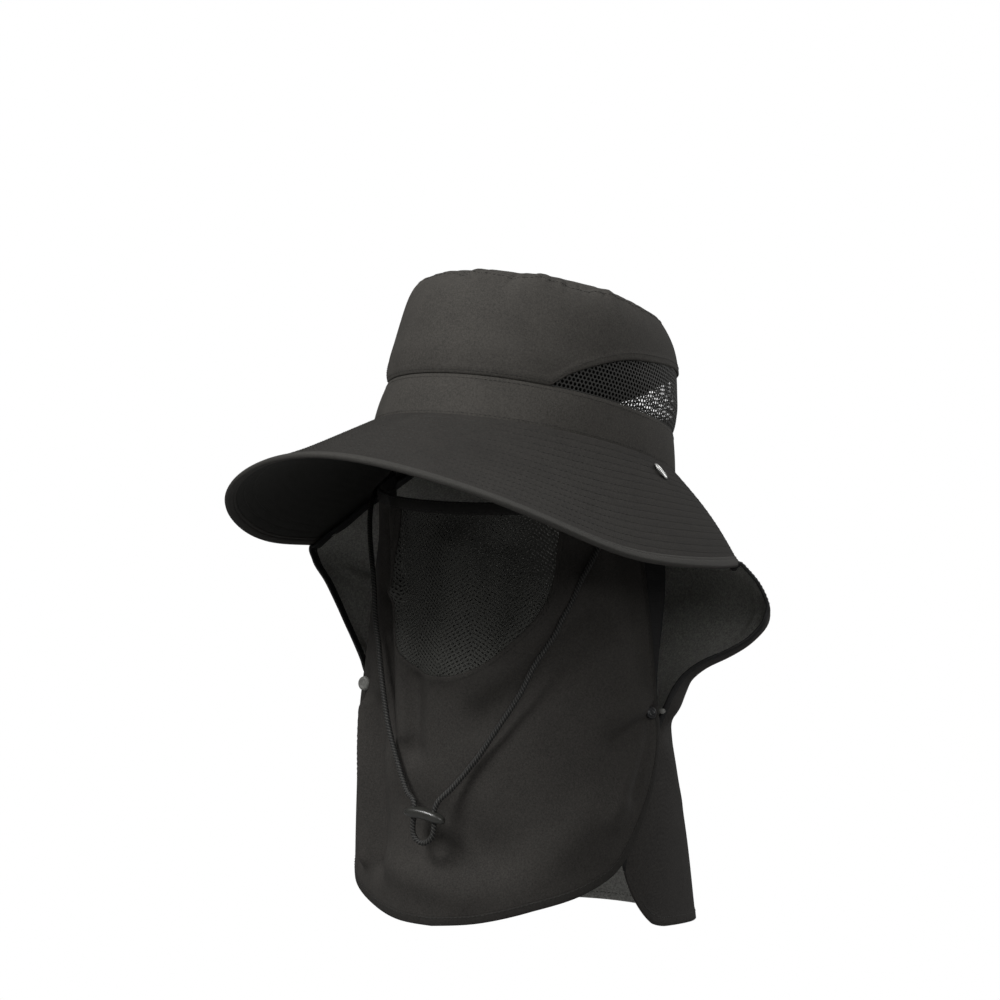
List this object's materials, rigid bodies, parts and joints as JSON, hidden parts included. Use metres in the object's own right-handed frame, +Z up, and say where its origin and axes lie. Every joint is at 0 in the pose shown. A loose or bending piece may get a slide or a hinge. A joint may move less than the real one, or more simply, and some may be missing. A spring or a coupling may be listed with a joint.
{
  "type": "flap sun hat",
  "caption": "Bucket sun hat with a wide brim, a net vent round the crown, a neck cape, a face veil with a net panel held by snaps and a chin cord with a slider",
  "frame": {"origin": "the middle of the head opening, in the seam between band and brim", "axes": "+Z up; the wearer faces -Y; +X is the wearer's left. The crown and brim lean back 15 degrees"},
  "size_m": [0.2729, 0.3079, 0.3867],
  "materials": {
    "crown_cloth": "matt woven nylon",
    "brim_cloth": "matt woven nylon in stitched rows",
    "cape_cloth": "matt woven nylon, brushed inside",
    "veil_cloth": "matt woven nylon",
    "binding": "black woven tape",
    "net": "black knitted net",
    "eyelet_metal": "bright nickel",
    "snap_plastic": "dull black",
    "lock_plastic": "glossy black",
    "cord": "braided black and grey"
  },
  "bodies": {
    "root": {"crown_tip": "crown_cloth", "crown_wall": "crown_cloth", "crown_band": "crown_cloth", "vent_mesh": "net", "brim": "brim_cloth", "brim_binding": "binding", "eyelet_left": "eyelet_metal", "eyelet_right": "eyelet_metal", "neck_cape": "cape_cloth", "cape_tape_left": "binding", "cape_tape_right": "binding", "face_veil": "veil_cloth", "veil_edge_binding": "veil_cloth", "veil_top_binding": "veil_cloth", "veil_mesh": "net", "snap_left": "snap_plastic", "snap_right": "snap_plastic", "cord_lock": "lock_plastic", "chin_cord": "cord"}
  },
  "joints": []
}
